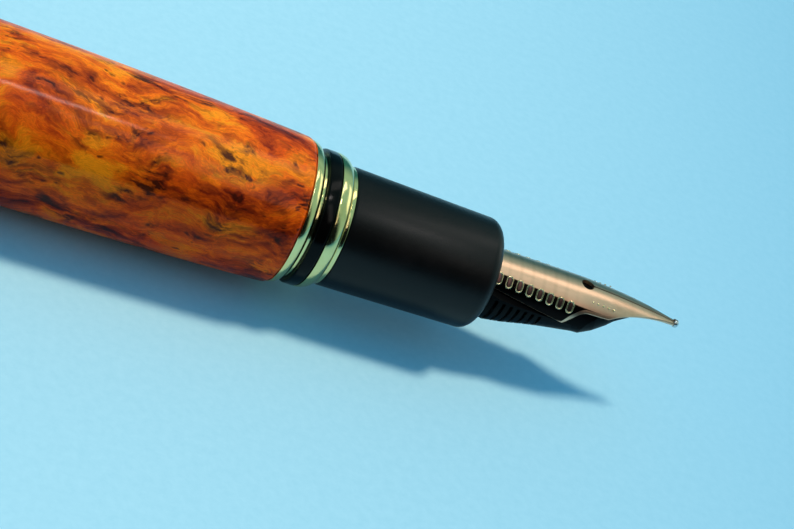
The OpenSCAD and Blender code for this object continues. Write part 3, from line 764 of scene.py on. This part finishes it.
def nib_half(work, side):
    """One half of the nib's sheet, closed but for the joint with the other half behind the hole."""
    across = 30
    chamfer = 0.05
    loops = []
    for d in nib_places():
        r, edge, inner = nib_radius(d), edge_angle(d), slit_angle(d)
        last = edge - chamfer / r
        arc = [inner + (last - inner) * (k / across) ** 0.9 for k in range(across + 1)]
        points = [(r, a) for a in arc] + [(r - chamfer, edge), (r - nib_sheet + chamfer, edge)]
        points += [(r - nib_sheet, a) for a in reversed(arc)]
        loop = [work.verts.new((grip_front + d, side * q * math.sin(a), q * math.cos(a))) for q, a in points]
        loops.append((loop, inner < 1e-6))
    count = len(loops[0][0])
    for (first, first_shut), (second, second_shut) in zip(loops, loops[1:]):
        for k in range(count):
            if k == count - 1 and first_shut and second_shut:
                continue
            m = (k + 1) % count
            work.faces.new((first[k], first[m], second[m], second[k]))
    work.faces.new(loops[0][0])
    work.faces.new(loops[-1][0])


def nib():
    """Bent sheet with its skirts, notches, shoulders, breather hole and slit, and its raised ornament, with a
    painted dark reflection inside each loop.
    """
    work = bmesh.new()
    nib_half(work, 1)
    nib_half(work, -1)
    bmesh.ops.remove_doubles(work, verts=work.verts, dist=SAME_PLACE)
    settle("nib_sheet", closed(work), nib_gold, "nib_and_feed", "nib_metal", "nib")
    ornament, loop_reflection_dots = [], []
    for side in (1, -1):
        row = {"Count": 8, "Start": grip_front + 0.55, "Pitch": 1.0,
               "First_Angle": side * 0.86, "Angle_Step": side * 0.022}
        ornament.append(grown(TONGUES, **row, Face_Radius=nib_r - 0.05, Width=0.56, Height=1.0, Rim=0.08,
                              Material=nib_bright))
        ornament.append(grown(DOTS, Count=5, Start=grip_front + 9.5, Pitch=0.52, First_Angle=side * 0.62,
                              Angle_Step=side * 0.01, Face_Radius=nib_r - 0.06, Size=(0.2, 0.24, 0.1),
                              Material=nib_bright))
        # Flat dark dots inside the loops: a painted dark reflection, not relief.
        loop_reflection_dots.append(grown(DOTS, **row, Face_Radius=nib_r - 0.01, Size=(0.5, 0.98, 0.07),
                           Material=nib_dark_reflection))
    settle("nib_flutes", joined(*ornament), nib_bright, "nib_and_feed", "nib_metal", sharp=60)
    settle("nib_loop_dark_reflection", joined(*loop_reflection_dots), nib_dark_reflection, "nib_and_feed", "nib_metal", sharp=60)
    tip()


def tip():
    """Writing ball in two halves, parted by the slit."""
    low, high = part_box("nib_tip")
    r = (high.y - low.y) / MM / 2
    work = bmesh.new()
    bmesh.ops.create_uvsphere(work, u_segments=40, v_segments=24, radius=r)
    bmesh.ops.translate(work, verts=work.verts, vec=(high.x / MM - r, 0, (high.z + low.z) / MM / 2))
    halves = []
    for side in (1, -1):
        half = work.copy()
        for place, outwards in (((0, side * slit_half, 0), (0, -side, 0)), ((nib_front, 0, 0), (-1, 0, 0))):
            bmesh.ops.bisect_plane(half, geom=half.verts[:] + half.edges[:] + half.faces[:],
                                   plane_co=place, plane_no=outwards, clear_outer=True)
        bmesh.ops.holes_fill(half, edges=[e for e in half.edges if e.is_boundary])
        halves.append(closed(half))
    work.free()
    settle("writing_ball", joined(*halves), tip_metal, "nib_and_feed", "tip_metal", "nib_tip")


# ---- Cap ----

def cap():
    """Wood, bands, finial, jewel and clip."""
    cap_end, cap_mouth, cap_belly = reach("cap_wood")
    band_rear, band_front, band_r = reach("cap_band")
    lip_rear, lip_front, lip_r = reach("cap_lip_ring")
    top_rear, top_front, top_r = reach("cap_top_ring")
    finial_low, finial_front, finial_r = reach("cap_finial")
    jewel_end, jewel_x, jewel_r = reach("finial_jewel")
    tube_r = reach("cap_tube")[2]
    bore = tube_r + glue_gap
    settle("burl_cap",
           swelled_wood(cap_mouth, cap_end, cap_front_r, cap_belly, cap_rear_r, cap_belly_from_band, bore),
           cap_burl, "cap", "burl_wood", "cap_wood")
    half_groove, groove_depth = 0.11, 0.12
    corners = [(band_rear, bore, 0), (band_rear, band_r, 0.25)]
    for x in (band_rear + 0.7, band_rear + 1.05, band_front - 1.05, band_front - 0.7):
        corners += [(x - half_groove, band_r, 0.02), (x, band_r - groove_depth, 0.03),
                    (x + half_groove, band_r, 0.02)]
    corners += [(band_front, band_r, 0.25), (band_front, bore, 0)]
    settle("centre_band", turned(rounded(corners)), gold, "cap", "gold_trim", "cap_band")
    settle("lip_ring", stepped_ring(lip_rear, lip_front, lip_r, tube_r - tube_wall),
           gold, "cap", "gold_trim", "cap_lip_ring")
    stud_r = 1.75
    hole = stud_r + glue_gap
    settle("top_ring", turned(rounded([
        (top_rear, hole, 0), (top_rear, top_r, 0.35), (top_front, top_r, 0.2), (top_front, hole, 0)])),
        gold, "cap", "gold_trim", "cap_top_ring")
    head_front = reach("clip_collar")[0]
    settle("finial_cup", turned(rounded([
        (jewel_x, 0, 0), (jewel_x, finial_r, 0.9), (jewel_x + 1.5, finial_r, 0.1),
        (jewel_x + 1.62, finial_r - 0.14, 0.04), (jewel_x + 1.74, finial_r, 0.1), (head_front, finial_r, 0.3),
        (head_front, stud_r, 0), (finial_front, stud_r, 0.2), (finial_front, 0, 0)])),
        gold, "cap", "gold_trim", "cap_finial")
    dome_r = (jewel_r ** 2 + (jewel_x - jewel_end) ** 2) / (2 * (jewel_x - jewel_end))
    angles = [math.asin(jewel_r / dome_r) * k / 20 for k in range(21)]
    arc = [(jewel_end + dome_r * (1 - math.cos(a)), dome_r * math.sin(a)) for a in angles]
    settle("finial_jewel", turned(arc + [(jewel_x, 0)]), gloss_black, "cap", "gloss_black", "finial_jewel")
    clip(band_r)


def clip(band_r):
    """Sprung clip arm: a crowned, tapering strip with a ball under its end."""
    ball_r, ball_height = 1.6, 8.926
    hinge_x = reach("clip_arm")[0] + 0.7
    ball_x = hinge_x + 36
    arm_len = ball_x - hinge_x + 0.6
    turn = math.pi - math.acos((band_r - ball_r - 0.02) / ball_height)
    top, thick = 9.2, 0.8
    hinge_half_width, taper, crown = 1.5, 0.35, 0.22
    round_from = 0.9        # the part of the arm's length after which its end rounds off
    sections = []
    steps, across = 40, 8
    for k in range(steps + 1):
        t = k / steps
        x = hinge_x + arm_len * t
        half = hinge_half_width - taper * t
        if t > round_from:
            half *= math.sqrt(max(0.05, 1 - ((t - round_from) / (1 - round_from)) ** 2 * 0.8))
        spots = [-1 + 2 * m / across for m in range(across + 1)]
        upper = [(x, half * u, top - crown * abs(u) ** 3) for u in spots]
        lower = [(x, half * u * 0.94, top - thick + 0.05 * u ** 2) for u in reversed(spots)]
        sections.append(upper + lower)
    arm = lofted(sections)
    pin_half, pin_r = 1.5, 0.7
    knuckle = turned(rounded([(-pin_half, 0, 0), (-pin_half, pin_r, 0.12), (pin_half, pin_r, 0.12),
                              (pin_half, 0, 0)]), 48)
    knuckle.transform(Matrix.Translation((hinge_x, 0, 8.5)) @ Matrix.Rotation(math.pi / 2, 4, "Z"))
    ball_work = bmesh.new()
    bmesh.ops.create_uvsphere(ball_work, u_segments=48, v_segments=32, radius=ball_r)
    bmesh.ops.translate(ball_work, verts=ball_work.verts, vec=(ball_x, 0, ball_height))
    whole = joined(arm, knuckle, closed(ball_work))
    whole.transform(Matrix.Rotation(turn, 4, "X"))
    settle("clip_strip", whole, gold, "clip", "gold_trim", "clip_arm")


# ---- Converter ----

def converter():
    """Ribbed knob and lipped seal of the ink converter."""
    rear, front, r = reach("converter_knob")
    knob_bore = 2.0
    sleeve_r = r - 0.12
    sleeve = turned(rounded([(rear, 0, 0), (rear, sleeve_r, 0.5), (front, sleeve_r, 0.2),
                             (front, knob_bore, 0.1), (rear + 1, knob_bore, 0), (rear + 1, 0, 0)]))
    ribs = grown(RIBS, Count=30, Start=rear + 1.2, Length=front - rear - 2.4, Radius=r - 0.2, Rib=0.2,
                 Material=moulded_black)
    settle("ribbed_knob", joined(sleeve, ribs), moulded_black, "knob", "satin_black", "converter_knob")
    rear, front, r = reach("piston_seal")
    waist_r = r - 0.35
    settle("lipped_seal", turned(rounded([
        (rear, 0, 0), (rear, r, 0.2), (rear + 0.8, r, 0.2), (rear + 1.0, waist_r, 0.15),
        (front - 1.0, waist_r, 0.15), (front - 0.8, r, 0.2), (front, r, 0.2), (front, 0, 0)]), 96),
        seal_rubber, "piston", "seal_rubber", "piston_seal")


barrel()
section()
nib()
cap()
converter()


# ---- Finishes of the plain solids that stay ----

for node, made in {
    "barrel_tube": brass, "cap_tube": brass, "cap_bushing": brass, "drive_nut": brass,
    "rear_post": gloss_black, "nib_housing": moulded_black, "feed": feed_black,
    "converter_mouth": moulded_black, "converter_tube": clear_plastic, "converter_band": steel,
    "rod_guide": moulded_black, "agitator_ball": steel, "piston_rod": moulded_black,
    "inner_cap": moulded_black, "clip_collar": gold,
}.items():
    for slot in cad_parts[node].material_slots:
        slot.material = made


# ---- Floor, lamps and camera ----

LAMPS_AIM_AT = Vector((0.07, 0, 0))     # metres

VIEW_AZIMUTH = -21.417                  # degrees round the pen from its left side
VIEW_ELEVATION = 34.729
VIEW_ROLL = 31.054
VIEW_PLACE = (12.5, -170.6, 125.2)      # millimetres
VIEW_LENS = 117.7


def floor():
    """Large pale blue sheet under the pen, painted darker towards +X as a painted falloff of the light."""
    made, graph, shader, place = finish("pale blue sheet", Roughness=0.85)
    tooth = graph.noise(place, 1.2, 3, 0.6).outputs["Fac"]
    colour = graph.mix(graph.spread(tooth, 0.3, 0.7), paint("#a4d8ea"), paint("#abddee"))
    # Painted falloff of the light: the sheet's colour darkens along X from the pen's middle outwards.
    across = graph.add("ShaderNodeSeparateXYZ", {0: place}).outputs["X"]
    painted_falloff = graph.ramp(graph.spread(across, 0, 220), (0.0, "#000000"), (1.0, "#ffffff"))
    colour = graph.mix(painted_falloff, colour, paint("#4496bd"))
    bounced = graph.add("ShaderNodeLightPath").outputs["Is Diffuse Ray"]
    colour = graph.mix(bounced, colour, paint("#8c7f76"))
    graph.link(colour, shader.inputs["Base Color"])
    middle = (cad_box[0] + cad_box[1]) / 2
    bpy.ops.mesh.primitive_circle_add(vertices=96, radius=3, fill_type="NGON",
                                      location=(middle.x, 0, cad_box[0].z))
    sheet = bpy.context.object
    sheet.name = "floor_sheet"
    sheet.data.materials.append(made)


def lamp(name, direction, distance, width, height, light_level, tint=(1, 1, 1), mirrored=True, lit=True):
    """Soft rectangular lamp that faces the pen from a direction, at a level where 1 is full.

    Only a mirrored lamp shows in gloss, and only a lit one lights matt surfaces.
    """
    light = bpy.data.lights.new(name, "AREA")
    light.shape = "RECTANGLE"
    light.size = width
    light.size_y = height
    light.energy = light_level * math.pi ** 2 * distance ** 2
    light.color = tint
    body = bpy.data.objects.new(name, light)
    bpy.context.scene.collection.objects.link(body)
    back = Vector(direction).normalized()
    body.location = LAMPS_AIM_AT + back * distance
    body.rotation_euler = back.to_track_quat("Z", "Y").to_euler()
    body.visible_glossy = mirrored
    body.visible_diffuse = lit


def studio():
    """Warm key from above, panels and a strip for the highlights, a soft back panel and a cool room."""
    lamp("key softbox", (0.30, 0.22, 0.93), 0.9, 0.14, 0.14, 0.98, (1.0, 0.78, 0.58), mirrored=False)
    lamp("overhead panel", (0.30, 0.20, 0.93), 0.7, 0.15, 0.50, 0.095, (1.0, 0.92, 0.86), lit=False)
    lamp("front panel", (0.30, -0.58, 0.76), 0.7, 0.10, 0.34, 0.04, (1.0, 0.92, 0.86))
    lamp("window strip", (0.12, -0.24, 0.96), 0.7, 0.14, 0.045, 0.09, (1.0, 0.90, 0.86), lit=False)
    lamp("nose panel", (0.88, 0.28, 0.38), 0.7, 0.35, 0.25, 0.06, (1.0, 0.93, 0.82), lit=False)
    lamp("back panel", (0.2, 0.9, 0.40), 1.2, 1.2, 0.5, 0.06, mirrored=False)
    world = bpy.data.worlds.new("cool room")
    bpy.context.scene.world = world
    world.use_nodes = True
    graph = Graph(world.node_tree)
    spot = graph.add("ShaderNodeSeparateXYZ", {0: graph.add("ShaderNodeTexCoord").outputs["Generated"]})
    depth = graph.spread(spot.outputs["Y"], -0.35, 0.25)
    low = graph.mix(depth, paint("#9c765e"), paint("#86bdd2"))
    ambient = graph.mix(graph.spread(spot.outputs["Z"], 0.35, 0.7), low, paint("#3eb2dc"))
    seen = graph.mix(graph.spread(spot.outputs["Y"], -0.62, -0.40), paint("#0a1114"), paint("#93c2c2"))
    seen = graph.mix(graph.spread(spot.outputs["Y"], 0.66, 0.86), seen, paint("#2f6f80"))
    glossy = graph.add("ShaderNodeLightPath").outputs["Is Glossy Ray"]
    sky = graph.add("ShaderNodeBackground", {"Color": graph.mix(glossy, ambient, seen), "Strength": 1.0})
    graph.add("ShaderNodeOutputWorld", {"Surface": sky.outputs[0]})


def camera():
    """Close, long-lens view of the nib end from above its left side."""
    lens = bpy.data.cameras.new("view")
    lens.lens = VIEW_LENS
    lens.sensor_width = 36
    lens.clip_start = 0.01
    lens.clip_end = 20
    body = bpy.data.objects.new("view", lens)
    bpy.context.scene.collection.objects.link(body)
    turn = (Matrix.Rotation(math.radians(VIEW_AZIMUTH), 4, "Z")
            @ Matrix.Rotation(math.radians(90 - VIEW_ELEVATION), 4, "X")
            @ Matrix.Rotation(math.radians(VIEW_ROLL), 4, "Z"))
    body.matrix_world = Matrix.Translation(Vector(VIEW_PLACE) * MM) @ turn
    bpy.context.scene.camera = body


floor()
studio()
camera()
bpy.context.scene.view_settings.view_transform = "Standard"
